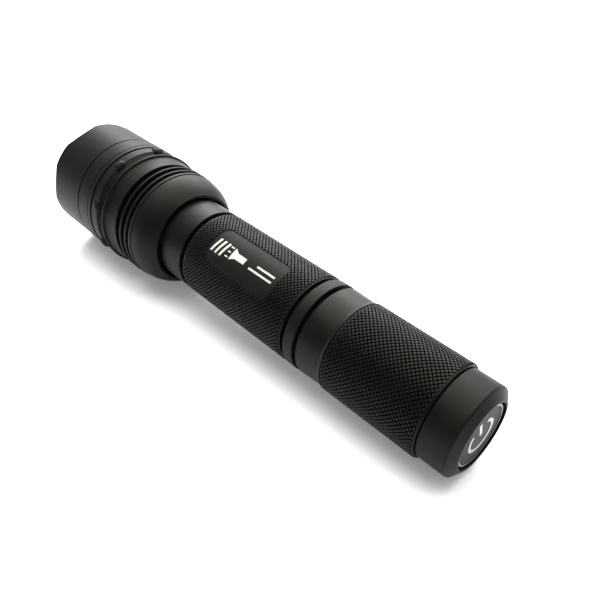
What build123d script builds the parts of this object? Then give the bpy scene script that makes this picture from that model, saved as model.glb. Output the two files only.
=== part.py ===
from build123d import *
import math
import os

# Tactical flashlight, lying along X. Millimetres.
# Origin: centre of the tail face, on the light's axis. +X is the beam direction, +Z is up.
# Angles round the axis are measured from +Z towards +Y.

# ---- driving dimensions: tail cap and button
CAP_R = 12.0
CAP_LENGTH = 9.2
CAP_BEVEL = 1.65
CAP_RIM_R = 9.4
BUTTON_HOLE_R = 8.9
CAP_POCKET_X = 3.5
CAP_POCKET_R = 9.3
CAP_SPIGOT_R = 11.35
CAP_SPIGOT_END = 18.9
BUTTON_R = 8.45
BUTTON_FACE_X = 0.5
BUTTON_BACK_X = 2.4
BUTTON_TRAVEL = 1.2
SEAL_FLANGE_X = 3.6
SEAL_END_X = 4.6
SEAL_FLANGE_R = 9.15
PLUNGER_R = 2.0
PLUNGER_END_X = 8.6
RUNNING_CLEARANCE = 0.08
SWITCH_X = 6.1
SWITCH_END_X = 16.0
TAIL_O_RING_X = 11.2

# ---- driving dimensions: battery tubes (the front tube is 25.4 mm, 1 inch, across)
TUBE_R = 12.7
BORE_R = 8.7
REAR_GRIP_R = 12.75
REAR_TUBE_X = 9.45
REAR_GRIP_END = 37.95
WAIST_X = 38.7
WAIST_R = 12.35
WAIST_FRONT_R = 12.6
REAR_TUBE_END = 46.05
REAR_THREAD_R = 11.45
REAR_THREAD_END = 19.5
JOINT_THREAD_R = 10.8
JOINT_THREAD_X = 41.0
WASHER_WIDTH = 1.3
WASHER_R = 11.2
MIDDLE_RING_X = REAR_TUBE_END + WASHER_WIDTH
MIDDLE_RING_END = 50.65
FRONT_TUBE_X = MIDDLE_RING_END + WASHER_WIDTH
FRONT_GRIP_END = 92.15
GRIP_GROOVE_END = 93.35
GRIP_GROOVE_R = 10.9
COLLAR_R = 12.6
COLLAR_END = 105.0
HEAD_THREAD_R = 11.6
FRONT_TUBE_END = 110.5
HEAD_O_RING_X = 106.4
SEAM_CHAMFER = 0.25

# ---- driving dimensions: cells, 16.8 mm by 34.5 mm each
CELL_R = 8.4
CELL_CAN = 33.5
CELL_TIP = 1.0
CELL_TIP_R = 3.2
CELL_REAR_X = 31.2
CELL_FRONT_X = CELL_REAR_X + CELL_CAN + CELL_TIP
CELL_END_X = CELL_FRONT_X + CELL_CAN + CELL_TIP

# ---- driving dimensions: head
HEAD_X = 102.35
HEAD_REAR_R = 14.1
BELL_X = 110.9
BELL_R = 17.2
LAND_END = 112.05
LAND_R = 17.45
FIN_R = 17.6
FIN_FLOOR_R = 15.4
FIN_2 = (113.15, 114.0)
FIN_1 = (115.7, 116.55)
FLANGE_X = 118.9
FLANGE_REAR_R = 17.3
FLARE_END = (124.0, 17.75)
FLANGE_EDGE = 0.12
FLANGE_R = 18.4
FLANGE_END = 124.95
UNDERCUT_R = 13.35
DRIVER_POCKET_R = 10.4
BULKHEAD_X = 115.0
BULKHEAD_END = 118.2
HEAD_BORE_R = 14.6
HEAD_SPIGOT_R = 15.6
HEAD_SPIGOT_END = 142.4
WIRE_HOLE_R = 0.9
WIRE_HOLE_AT = 4.5

# ---- driving dimensions: selector ring, front ring and bezel
SELECTOR_X = 125.3
SELECTOR_END = 131.3
SELECTOR_R = 18.1
SELECTOR_BORE_R = HEAD_SPIGOT_R + 0.05
COVE_REAR_R = 16.85
COVE_MIDDLE = (126.8, 17.15)
COVE_END = 128.2
STUD_COUNT = 8
STUD_PHASE = 23.3
STUD_X = 128.7
STUD_LENGTH = 3.2
STUD_WIDTH = 4.8
STUD_TIP_R = 18.95
STUD_BASE_R = 16.6
DETENT_COUNT = 4
DETENT_STEP = 30.0
DETENT_AT = 16.25
DETENT_BALL_R = 0.55
DETENT_HOLE_DEPTH = 5.0
MAGNET_R = 1.2
MAGNET_LENGTH = 0.8
MAGNET_BASE_R = 15.9
MAGNET_ANGLE = STUD_PHASE + 3.5 * 360.0 / STUD_COUNT
FRONT_RING_X = 131.65
FRONT_RING_END = 138.6
FRONT_RING_R = 18.3
BEZEL_X = 139.1
BEZEL_END = 154.55
BEZEL_R = 18.2
BEZEL_POCKET_R = 16.3
BEZEL_LIP_X = 152.1
BEZEL_LIP_R = 15.3
BEZEL_MOUTH_R = 16.7
SCALLOP_COUNT = 6
SCALLOP_DEPTH = 1.2
SCALLOP_CHORD = 11.0
CREST_ANGLE = 47.0

# ---- driving dimensions: light engine
BOARD_X = BULKHEAD_END
BOARD_THICK = 1.6
BOARD_R = 10.0
LED_X = BOARD_X + BOARD_THICK
LED_BASE = 3.5
LED_BASE_HIGH = 0.8
LED_DOME_R = 1.3
GASKET_R = 4.6
REFLECTOR_X = LED_X + 0.8
REFLECTOR_HOLE_R = 3.6
REFLECTOR_MOUTH_R = 15.3
REFLECTOR_WALL = 0.7
REFLECTOR_FLANGE = 1.3
LENS_THICK = 2.0
LENS_X = BEZEL_LIP_X - LENS_THICK
LENS_RING_THICK = 1.0
REFLECTOR_END = LENS_X - LENS_RING_THICK
SCREW_AT = 7.6
SCREW_R = 1.0
SCREW_HEAD_R = 1.7
SCREW_HEAD_HIGH = 1.2
SCREW_DEPTH = 2.6
DRIVER_X = 111.9
DRIVER_THICK = 1.6
SPRING_WIRE_R = 0.45


def turned(outline):
    """A solid of revolution about the light's axis from a closed outline of (x, radius) corners."""
    return revolve(make_face(Polyline(*outline, close=True)), Axis.X)


def sleeve(x_start, x_end, r_outer, r_inner, chamfer=0.0):
    """A plain ring, with its two outer edges chamfered."""
    return turned([
        (x_start, r_inner),
        (x_start, r_outer - chamfer),
        (x_start + chamfer, r_outer),
        (x_end - chamfer, r_outer),
        (x_end, r_outer - chamfer),
        (x_end, r_inner),
    ]) if chamfer else turned([(x_start, r_inner), (x_start, r_outer), (x_end, r_outer), (x_end, r_inner)])


def rod(x_start, x_end, radius):
    """A plain round rod on the axis."""
    return Pos(x_start, 0, 0) * Rot(0, 90, 0) * Cylinder(
        radius, x_end - x_start, align=(Align.CENTER, Align.CENTER, Align.MIN)
    )


def o_ring(x_centre, r_inner, r_outer):
    """A round-section rubber ring."""
    section_r = (r_outer - r_inner) / 2
    section = Pos(x_centre, r_inner + section_r) * Circle(section_r)
    return revolve(section, Axis.X)


def around(shape, angle):
    """The shape, drawn on the +Z side, turned round the axis from +Z towards +Y."""
    return Rot(-angle, 0, 0) * shape


def coil_spring(x_start, x_end, coil_r, wire_r, turns):
    """A round-wire compression spring on the axis, whose wire lies between the two ends."""
    height = x_end - x_start - 2 * wire_r
    path = Helix(pitch=height / turns, height=height, radius=coil_r)
    section = Plane(origin=path @ 0, z_dir=path % 0) * Circle(wire_r)
    wire = sweep(section, path=path, is_frenet=True)
    return Pos(x_start + wire_r, 0, 0) * Rot(0, 90, 0) * wire


def tail_cap():
    groove_half = 0.6
    return turned([
        (0, BUTTON_HOLE_R),
        (0, CAP_RIM_R),
        (CAP_BEVEL, CAP_R),
        (CAP_LENGTH - SEAM_CHAMFER, CAP_R),
        (CAP_LENGTH, CAP_R - SEAM_CHAMFER),
        (CAP_LENGTH, CAP_SPIGOT_R),
        (TAIL_O_RING_X - groove_half, CAP_SPIGOT_R),
        (TAIL_O_RING_X - groove_half, 10.25),
        (TAIL_O_RING_X + groove_half, 10.25),
        (TAIL_O_RING_X + groove_half, CAP_SPIGOT_R),
        (CAP_SPIGOT_END - 0.5, CAP_SPIGOT_R),
        (CAP_SPIGOT_END, CAP_SPIGOT_R - 0.5),
        (CAP_SPIGOT_END, CAP_POCKET_R),
        (CAP_POCKET_X, CAP_POCKET_R),
        (CAP_POCKET_X, BUTTON_HOLE_R),
    ])


def button_cap():
    edge = 0.3
    return turned([
        (BUTTON_FACE_X, 0),
        (BUTTON_FACE_X, BUTTON_R - edge),
        (BUTTON_FACE_X + edge, BUTTON_R),
        (BUTTON_BACK_X, BUTTON_R),
        (BUTTON_BACK_X, 0),
    ])


def button_seal():
    return turned([
        (BUTTON_BACK_X, 0),
        (BUTTON_BACK_X, BUTTON_R),
        (SEAL_FLANGE_X, BUTTON_R),
        (SEAL_FLANGE_X, SEAL_FLANGE_R),
        (SEAL_END_X, SEAL_FLANGE_R),
        (SEAL_END_X, 0),
    ])


def switch_plunger():
    return rod(SEAL_END_X, PLUNGER_END_X, PLUNGER_R)


def switch_housing():
    bore_end = PLUNGER_END_X + BUTTON_TRAVEL + 0.2
    body = rod(SWITCH_X, SWITCH_END_X, CAP_POCKET_R)
    return body - rod(SWITCH_X - 1, bore_end, PLUNGER_R + RUNNING_CLEARANCE)


def switch_retaining_ring():
    ring = sleeve(SWITCH_END_X, SWITCH_END_X + 1.6, CAP_POCKET_R, 6.2)
    spanner_slot = Box(3, 2 * CAP_POCKET_R + 1, 1.4)
    return ring - Pos(SWITCH_END_X + 2.4, 0, 0) * spanner_slot


def tail_spring():
    return coil_spring(SWITCH_END_X, CELL_REAR_X - 0.05, 4.6, SPRING_WIRE_R, 6)


def tail_o_ring():
    return o_ring(TAIL_O_RING_X, 10.3, 11.4)


def rear_tube():
    return turned([
        (REAR_TUBE_X, REAR_THREAD_R),
        (REAR_TUBE_X, REAR_GRIP_R - SEAM_CHAMFER),
        (REAR_TUBE_X + SEAM_CHAMFER, REAR_GRIP_R),
        (REAR_GRIP_END, REAR_GRIP_R),
        (WAIST_X, WAIST_R),
        (REAR_TUBE_END - SEAM_CHAMFER, WAIST_FRONT_R),
        (REAR_TUBE_END, WAIST_FRONT_R - SEAM_CHAMFER),
        (REAR_TUBE_END, JOINT_THREAD_R),
        (JOINT_THREAD_X, JOINT_THREAD_R),
        (JOINT_THREAD_X, BORE_R),
        (REAR_THREAD_END, BORE_R),
        (REAR_THREAD_END, REAR_THREAD_R),
    ])


def rear_washer():
    return sleeve(REAR_TUBE_END, MIDDLE_RING_X, WASHER_R, JOINT_THREAD_R)


def middle_ring():
    return sleeve(MIDDLE_RING_X, MIDDLE_RING_END, TUBE_R, JOINT_THREAD_R, SEAM_CHAMFER)


def front_washer():
    return sleeve(MIDDLE_RING_END, FRONT_TUBE_X, WASHER_R, JOINT_THREAD_R)


def front_tube():
    groove_half = 0.6
    groove_r = HEAD_THREAD_R - 2 * groove_half
    return turned([
        (JOINT_THREAD_X + 0.3, BORE_R),
        (JOINT_THREAD_X + 0.3, JOINT_THREAD_R),
        (FRONT_TUBE_X, JOINT_THREAD_R),
        (FRONT_TUBE_X, TUBE_R - SEAM_CHAMFER),
        (FRONT_TUBE_X + SEAM_CHAMFER, TUBE_R),
        (FRONT_GRIP_END - SEAM_CHAMFER, TUBE_R),
        (FRONT_GRIP_END, TUBE_R - SEAM_CHAMFER),
        (FRONT_GRIP_END, GRIP_GROOVE_R),
        (GRIP_GROOVE_END, GRIP_GROOVE_R),
        (GRIP_GROOVE_END, COLLAR_R - SEAM_CHAMFER),
        (GRIP_GROOVE_END + SEAM_CHAMFER, COLLAR_R),
        (COLLAR_END, COLLAR_R),
        (COLLAR_END, HEAD_THREAD_R),
        (HEAD_O_RING_X - groove_half, HEAD_THREAD_R),
        (HEAD_O_RING_X - groove_half, groove_r),
        (HEAD_O_RING_X + groove_half, groove_r),
        (HEAD_O_RING_X + groove_half, HEAD_THREAD_R),
        (FRONT_TUBE_END, HEAD_THREAD_R),
        (FRONT_TUBE_END, BORE_R),
    ])


def grip_o_ring():
    return sleeve(FRONT_GRIP_END, GRIP_GROOVE_END, GRIP_GROOVE_R + 0.35, GRIP_GROOVE_R, 0.12)


def head_o_ring():
    return o_ring(HEAD_O_RING_X, HEAD_THREAD_R - 1.2, HEAD_THREAD_R)


def cell(x_start):
    edge = 0.6
    x_shoulder = x_start + CELL_CAN
    return turned([
        (x_start, 0),
        (x_start, CELL_R - edge),
        (x_start + edge, CELL_R),
        (x_shoulder - edge, CELL_R),
        (x_shoulder, CELL_R - edge),
        (x_shoulder, CELL_TIP_R),
        (x_shoulder + CELL_TIP, CELL_TIP_R),
        (x_shoulder + CELL_TIP, 0),
    ])


def driver_spring():
    return coil_spring(CELL_END_X + 0.05, DRIVER_X, 3.4, SPRING_WIRE_R, 5)


def driver_board():
    return rod(DRIVER_X, DRIVER_X + DRIVER_THICK, DRIVER_POCKET_R)


def driver_retaining_ring():
    return sleeve(FRONT_TUBE_END + 0.1, DRIVER_X, DRIVER_POCKET_R, 6.0)


def head_outline():
    """The head's closed section: bell, cooling fins, flange, selector spigot and stepped bore."""
    bell = ThreePointArc((HEAD_X, HEAD_REAR_R), (105.6, 16.2), (BELL_X, BELL_R))
    fins = Polyline(
        (BELL_X, BELL_R),
        (BELL_X + 0.15, LAND_R),
        (LAND_END, LAND_R),
        (LAND_END, FIN_FLOOR_R),
        (FIN_2[0], FIN_FLOOR_R),
        (FIN_2[0], FIN_R),
        (FIN_2[1], FIN_R),
        (FIN_2[1], FIN_FLOOR_R),
        (FIN_1[0], FIN_FLOOR_R),
        (FIN_1[0], FIN_R),
        (FIN_1[1], FIN_R),
        (FIN_1[1], FIN_FLOOR_R),
        (FLANGE_X, FIN_FLOOR_R),
        (FLANGE_X, FLANGE_REAR_R),
    )
    flange = ThreePointArc((FLANGE_X, FLANGE_REAR_R), (121.6, 17.4), FLARE_END)
    inside = Polyline(
        FLARE_END,
        (FLARE_END[0] + 0.3, FLANGE_R),
        (FLANGE_END - FLANGE_EDGE, FLANGE_R),
        (FLANGE_END, FLANGE_R - FLANGE_EDGE),
        (FLANGE_END, HEAD_SPIGOT_R),
        (HEAD_SPIGOT_END, HEAD_SPIGOT_R),
        (HEAD_SPIGOT_END, HEAD_BORE_R),
        (BULKHEAD_END, HEAD_BORE_R),
        (BULKHEAD_END, 0),
        (BULKHEAD_X, 0),
        (BULKHEAD_X, DRIVER_POCKET_R),
        (FRONT_TUBE_END + 0.1, DRIVER_POCKET_R),
        (FRONT_TUBE_END + 0.1, HEAD_THREAD_R),
        (COLLAR_END, HEAD_THREAD_R),
        (COLLAR_END, UNDERCUT_R),
        (HEAD_X, UNDERCUT_R),
        (HEAD_X, HEAD_REAR_R),
    )
    return make_face(bell + fins + flange + inside)


def head_body():
    body = revolve(head_outline(), Axis.X)
    for side in (-1, 1):
        body -= Pos(0, 0, side * WIRE_HOLE_AT) * rod(BULKHEAD_X - 1, BULKHEAD_END + 1, WIRE_HOLE_R)
        body -= Pos(0, side * SCREW_AT, 0) * rod(BOARD_X - SCREW_DEPTH, BOARD_X + 1, SCREW_R)
    detent_hole = rod(FLANGE_END - DETENT_HOLE_DEPTH, FLANGE_END + 1, DETENT_BALL_R + 0.05)
    return body - Pos(0, 0, DETENT_AT) * detent_hole


def detent_ball():
    return Pos(SELECTOR_X - 0.02 - DETENT_BALL_R, 0, DETENT_AT) * Sphere(DETENT_BALL_R)


def detent_spring():
    x_end = SELECTOR_X - 0.05 - 2 * DETENT_BALL_R
    spring = coil_spring(FLANGE_END - DETENT_HOLE_DEPTH, x_end, 0.42, 0.1, 5)
    return Pos(0, 0, DETENT_AT) * spring


def stud_block(r_base, r_tip, margin):
    """One stud's block on the +Z side, larger by a margin along and across."""
    block = Box(
        STUD_LENGTH + 2 * margin,
        STUD_WIDTH + 2 * margin,
        r_tip - r_base,
        align=(Align.CENTER, Align.CENTER, Align.MIN),
    )
    return Pos(STUD_X, 0, r_base) * block


def stud_angles():
    return [STUD_PHASE + 360.0 / STUD_COUNT * number for number in range(STUD_COUNT)]


def selector_ring():
    """The turning ring: a cove for the studs, rising to a plain band at its front."""
    cove = ThreePointArc((SELECTOR_X, COVE_REAR_R), COVE_MIDDLE, (COVE_END, SELECTOR_R))
    rest = Polyline(
        (COVE_END, SELECTOR_R),
        (SELECTOR_END - SEAM_CHAMFER, SELECTOR_R),
        (SELECTOR_END, SELECTOR_R - SEAM_CHAMFER),
        (SELECTOR_END, SELECTOR_BORE_R),
        (SELECTOR_X, SELECTOR_BORE_R),
        (SELECTOR_X, COVE_REAR_R),
    )
    ring = revolve(make_face(cove + rest), Axis.X)
    for angle in stud_angles():
        ring -= around(stud_block(STUD_BASE_R, STUD_TIP_R + 1, 0), angle)
    for position in range(DETENT_COUNT):
        dimple = Pos(0, 0, DETENT_AT) * rod(SELECTOR_X - 1, SELECTOR_X + 0.15, 0.45)
        ring -= around(dimple, DETENT_STEP * position)
    return ring - around(magnet_rod(), MAGNET_ANGLE)


def selector_studs():
    """Eight rubber studs, each rounded along and across at its tip."""
    studs = []
    for angle in stud_angles():
        stud = stud_block(STUD_BASE_R, STUD_TIP_R, 0)
        stud = fillet(stud.edges().filter_by(Plane.XY).group_by(Axis.Z)[-1], 1.0)
        studs.append(around(stud, angle))
    return Compound(children=studs)


def magnet_rod():
    rod_on_z = Cylinder(MAGNET_R, MAGNET_LENGTH, align=(Align.CENTER, Align.CENTER, Align.MIN))
    return Pos((SELECTOR_X + SELECTOR_END) / 2, 0, MAGNET_BASE_R) * rod_on_z


def selector_magnet():
    return around(magnet_rod(), MAGNET_ANGLE)


def front_ring():
    line_x = FRONT_RING_X + 1.5
    return turned([
        (FRONT_RING_X, HEAD_SPIGOT_R),
        (FRONT_RING_X, FRONT_RING_R - SEAM_CHAMFER),
        (FRONT_RING_X + SEAM_CHAMFER, FRONT_RING_R),
        (line_x, FRONT_RING_R),
        (line_x + 0.12, FRONT_RING_R - 0.15),
        (line_x + 0.24, FRONT_RING_R),
        (FRONT_RING_END - SEAM_CHAMFER, FRONT_RING_R),
        (FRONT_RING_END, FRONT_RING_R - SEAM_CHAMFER),
        (FRONT_RING_END, HEAD_SPIGOT_R),
    ])


def bezel_ring():
    """The bezel, with wide shallow scallops round its front edge."""
    edge = 0.35
    bezel = turned([
        (BEZEL_X, HEAD_SPIGOT_R),
        (BEZEL_X, BEZEL_R - SEAM_CHAMFER),
        (BEZEL_X + SEAM_CHAMFER, BEZEL_R),
        (BEZEL_END - edge, BEZEL_R),
        (BEZEL_END, BEZEL_R - edge),
        (BEZEL_END, BEZEL_MOUTH_R),
        (BEZEL_LIP_X + 0.7, BEZEL_LIP_R),
        (BEZEL_LIP_X, BEZEL_LIP_R),
        (BEZEL_LIP_X, BEZEL_POCKET_R),
        (HEAD_SPIGOT_END + 0.2, BEZEL_POCKET_R),
        (HEAD_SPIGOT_END + 0.2, HEAD_SPIGOT_R),
    ])
    half_chord = SCALLOP_CHORD / 2
    scallop_r = (half_chord**2 + SCALLOP_DEPTH**2) / (2 * SCALLOP_DEPTH)
    cutter = Cylinder(scallop_r, BEZEL_R + 2, align=(Align.CENTER, Align.CENTER, Align.MIN))
    cutter = Pos(BEZEL_END - SCALLOP_DEPTH + scallop_r, 0, 0) * cutter
    step = 360.0 / SCALLOP_COUNT
    for number in range(SCALLOP_COUNT):
        bezel -= around(cutter, CREST_ANGLE + step * (number + 0.5))
    return bezel


def reflector():
    """A parabolic bowl with its focus at the emitter, and a flange at its mouth."""
    slope = (REFLECTOR_MOUTH_R**2 - REFLECTOR_HOLE_R**2) / (REFLECTOR_END - REFLECTOR_X)

    def bowl_r(x):
        return math.sqrt(REFLECTOR_HOLE_R**2 + slope * (x - REFLECTOR_X))

    length = REFLECTOR_END - REFLECTOR_X
    stations = [REFLECTOR_X + length * (step / 8) ** 2 for step in range(9)]
    inner = Spline(*[(x, bowl_r(x)) for x in stations])
    flange_x = REFLECTOR_END - REFLECTOR_FLANGE
    outer_stations = [x for x in stations if x < flange_x - 1] + [flange_x]
    outer = Spline(*[(x, bowl_r(x) + REFLECTOR_WALL) for x in outer_stations])
    mouth = Polyline(
        (REFLECTOR_END, REFLECTOR_MOUTH_R),
        (REFLECTOR_END, BEZEL_POCKET_R),
        (flange_x, BEZEL_POCKET_R),
        (flange_x, bowl_r(flange_x) + REFLECTOR_WALL),
    )
    base = Line((REFLECTOR_X, REFLECTOR_HOLE_R + REFLECTOR_WALL), (REFLECTOR_X, REFLECTOR_HOLE_R))
    return revolve(make_face(inner + mouth + outer + base), Axis.X)


def front_lens():
    edge = 0.3
    radius = BEZEL_POCKET_R
    return turned([
        (LENS_X, 0),
        (LENS_X, radius - edge),
        (LENS_X + edge, radius),
        (BEZEL_LIP_X - edge, radius),
        (BEZEL_LIP_X, radius - edge),
        (BEZEL_LIP_X, 0),
    ])


def lens_o_ring():
    return sleeve(REFLECTOR_END, LENS_X, BEZEL_POCKET_R, REFLECTOR_MOUTH_R + 0.2)


def screw_places():
    return [Pos(0, side * SCREW_AT, 0) for side in (-1, 1)]


def led_board():
    board = rod(BOARD_X, LED_X, BOARD_R)
    for place in screw_places():
        board -= place * rod(BOARD_X - 1, LED_X + 1, SCREW_R)
    for side in (-1, 1):
        board -= Pos(0, 0, side * WIRE_HOLE_AT) * rod(BOARD_X - 1, LED_X + 1, WIRE_HOLE_R)
    return board


def board_screws():
    screws = []
    for place in screw_places():
        shank = rod(BOARD_X - SCREW_DEPTH, LED_X + 0.1, SCREW_R)
        head = rod(LED_X, LED_X + SCREW_HEAD_HIGH, SCREW_HEAD_R)
        screws.append(place * (shank + head))
    return Compound(children=screws)


def led_gasket():
    disc = rod(LED_X, REFLECTOR_X, GASKET_R)
    window = Box(4, LED_BASE + 0.3, LED_BASE + 0.3)
    return disc - Pos(LED_X, 0, 0) * window


def led_emitter():
    base = Box(LED_BASE_HIGH, LED_BASE, LED_BASE, align=(Align.MIN, Align.CENTER, Align.CENTER))
    dome = Sphere(LED_DOME_R) & Pos(LED_DOME_R / 2, 0, 0) * Box(LED_DOME_R, 4, 4)
    return Pos(LED_X, 0, 0) * (base + Pos(LED_BASE_HIGH, 0, 0) * dome)


NODES = {
    "tail_cap": tail_cap,
    "button_cap": button_cap,
    "button_seal": button_seal,
    "switch_plunger": switch_plunger,
    "switch_housing": switch_housing,
    "switch_retaining_ring": switch_retaining_ring,
    "tail_spring": tail_spring,
    "tail_o_ring": tail_o_ring,
    "rear_tube": rear_tube,
    "rear_washer": rear_washer,
    "middle_ring": middle_ring,
    "front_washer": front_washer,
    "front_tube": front_tube,
    "grip_o_ring": grip_o_ring,
    "head_o_ring": head_o_ring,
    "cell_rear": lambda: cell(CELL_REAR_X),
    "cell_front": lambda: cell(CELL_FRONT_X),
    "driver_spring": driver_spring,
    "driver_board": driver_board,
    "driver_retaining_ring": driver_retaining_ring,
    "head_body": head_body,
    "detent_ball": detent_ball,
    "detent_spring": detent_spring,
    "selector_ring": selector_ring,
    "selector_studs": selector_studs,
    "selector_magnet": selector_magnet,
    "front_ring": front_ring,
    "bezel_ring": bezel_ring,
    "reflector": reflector,
    "front_lens": front_lens,
    "lens_o_ring": lens_o_ring,
    "led_board": led_board,
    "board_screws": board_screws,
    "led_gasket": led_gasket,
    "led_emitter": led_emitter,
}

os.makedirs("parts", exist_ok=True)
for node, make in NODES.items():
    export_step(make(), f"parts/{node}.step")
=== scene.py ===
import math

import bmesh
import bpy
from mathutils import Matrix, Vector


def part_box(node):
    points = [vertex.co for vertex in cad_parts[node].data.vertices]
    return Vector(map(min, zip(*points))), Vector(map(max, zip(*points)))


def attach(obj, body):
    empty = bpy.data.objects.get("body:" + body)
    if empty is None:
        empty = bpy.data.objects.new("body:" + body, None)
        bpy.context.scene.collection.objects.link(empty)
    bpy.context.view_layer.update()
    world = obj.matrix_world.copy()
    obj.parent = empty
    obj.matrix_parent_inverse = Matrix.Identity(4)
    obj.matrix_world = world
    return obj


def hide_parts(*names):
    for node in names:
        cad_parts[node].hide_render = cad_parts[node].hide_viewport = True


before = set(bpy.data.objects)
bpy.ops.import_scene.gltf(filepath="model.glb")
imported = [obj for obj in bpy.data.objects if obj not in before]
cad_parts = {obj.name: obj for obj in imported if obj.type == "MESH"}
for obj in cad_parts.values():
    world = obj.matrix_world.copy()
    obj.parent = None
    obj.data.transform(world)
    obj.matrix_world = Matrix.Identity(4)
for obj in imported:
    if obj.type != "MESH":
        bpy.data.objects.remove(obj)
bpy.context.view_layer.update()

# Sizes are in millimetres in the part's own frame until a mesh is made: +X is the beam, +Z is up.
# Angles round the axis are measured from +Z towards +Y.
MM = 0.001
SEGMENTS = 160
FINE_SEGMENTS = 288
SHARP_DEG = 35

# Radii and places of the CAD model that the boxes of its nodes don't give.
BATTERY_BORE_R = 8.7
TAIL_BORE_R = 11.45
SPIGOT_R = 10.8
GROOVE_R = 10.9
SMOOTH_TUBE_R = 12.6
NECK_R = 11.6
COLLAR_END = 105.0
HEAD_BORE_R = 15.6


def span(node):
    """A round CAD node's first and last place along the axis, and its outer radius, in mm."""
    low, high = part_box(node)
    return low.x / MM, high.x / MM, high.z / MM


# ---------------------------------------------------------------- mesh helpers

def arc(start, middle, end, steps=10):
    """Points on the circle through three points, from start to end."""
    (ax, ay), (bx, by), (cx, cy) = start, middle, end
    d = 2 * (ax * (by - cy) + bx * (cy - ay) + cx * (ay - by))
    a2, b2, c2 = ax * ax + ay * ay, bx * bx + by * by, cx * cx + cy * cy
    ux = (a2 * (by - cy) + b2 * (cy - ay) + c2 * (ay - by)) / d
    uy = (a2 * (cx - bx) + b2 * (ax - cx) + c2 * (bx - ax)) / d
    radius = math.hypot(ax - ux, ay - uy)
    first = math.atan2(ay - uy, ax - ux)
    last = math.atan2(cy - uy, cx - ux)
    sweep = (last - first + math.pi) % (2 * math.pi) - math.pi
    angles = [first + sweep * step / steps for step in range(steps + 1)]
    return [(ux + radius * math.cos(angle), uy + radius * math.sin(angle)) for angle in angles]


def rounded(outline, closed, steps=4):
    """The outline with each corner (x, r, bevel) rounded, and a support point beside each bevel."""
    points = []
    count = len(outline)
    for index, corner in enumerate(outline):
        here = Vector(corner[:2])
        bevel = corner[2] if len(corner) > 2 else 0
        at_end = not closed and index in (0, count - 1)
        if not bevel or at_end:
            points.append(tuple(here))
            continue
        before = Vector(outline[index - 1][:2]) - here
        after = Vector(outline[(index + 1) % count][:2]) - here
        reach = min(bevel, 0.45 * before.length, 0.45 * after.length)
        start = here + before.normalized() * reach
        end = here + after.normalized() * reach
        points.append(tuple(start + before.normalized() * 0.25 * reach))
        for step in range(steps + 1):
            t = step / steps
            points.append(tuple(start * (1 - t) ** 2 + here * 2 * t * (1 - t) + end * t * t))
        points.append(tuple(end + after.normalized() * 0.25 * reach))
    return points


def ring_point(x, radius, angle):
    return (x * MM, radius * math.sin(angle) * MM, radius * math.cos(angle) * MM)


def finish_mesh(name, bm, sharp_deg=SHARP_DEG):
    """Makes an object of the bmesh, with outward faces, and edges sharp past an angle."""
    bmesh.ops.recalc_face_normals(bm, faces=bm.faces)
    mesh = bpy.data.meshes.new(name)
    bm.to_mesh(mesh)
    bm.free()
    mesh.polygons.foreach_set("use_smooth", [True] * len(mesh.polygons))
    mesh.set_sharp_from_angle(angle=math.radians(sharp_deg))
    piece = bpy.data.objects.new(name, mesh)
    bpy.context.scene.collection.objects.link(piece)
    return piece


def add_ring(bm, x, radius, segments, shift=None):
    """One ring of vertices, or one vertex where it is on the axis. shift moves a vertex along the axis."""
    if radius < 1e-6:
        return [bm.verts.new(ring_point(x, 0, 0))]
    ring = []
    for number in range(segments):
        angle = 2 * math.pi * number / segments
        along = x + (shift(x, radius, angle) if shift else 0)
        ring.append(bm.verts.new(ring_point(along, radius, angle)))
    return ring


def bridge(bm, ring_a, ring_b):
    """Faces between two neighbouring rings."""
    count = max(len(ring_a), len(ring_b))
    for number in range(count):
        after = (number + 1) % count
        if len(ring_a) == 1:
            bm.faces.new((ring_a[0], ring_b[number], ring_b[after]))
        elif len(ring_b) == 1:
            bm.faces.new((ring_a[number], ring_b[0], ring_a[after]))
        else:
            bm.faces.new((ring_a[number], ring_b[number], ring_b[after], ring_a[after]))


def lathe(name, outline, closed=True, segments=SEGMENTS, shift=None, fill=None):
    """A turned piece from an outline of (x, r) or (x, r, bevel) corners.
    fill = (x, maker): the stretch that starts at that x is made by maker(bm, ring_before, ring_after)."""
    bm = bmesh.new()
    points = rounded(outline, closed)
    rings = [add_ring(bm, x, r, segments, shift) for x, r in points]
    pairs = len(rings) if closed else len(rings) - 1
    for number in range(pairs):
        after = (number + 1) % len(rings)
        if fill and abs(points[number][0] - fill[0]) < 1e-6 and abs(points[after][0] - fill[0]) > 1:
            fill[1](bm, rings[number], rings[after])
        else:
            bridge(bm, rings[number], rings[after])
    return finish_mesh(name, bm)


# ---------------------------------------------------------------- knurling and threads

KNURL_DEPTH = 0.28
KNURL_LEAN = math.radians(45)
KNURL_SEGMENTS = 128
# The part of the way from a groove to a diamond's centre that its slope takes up.
KNURL_SLOPE = 0.38


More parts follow.
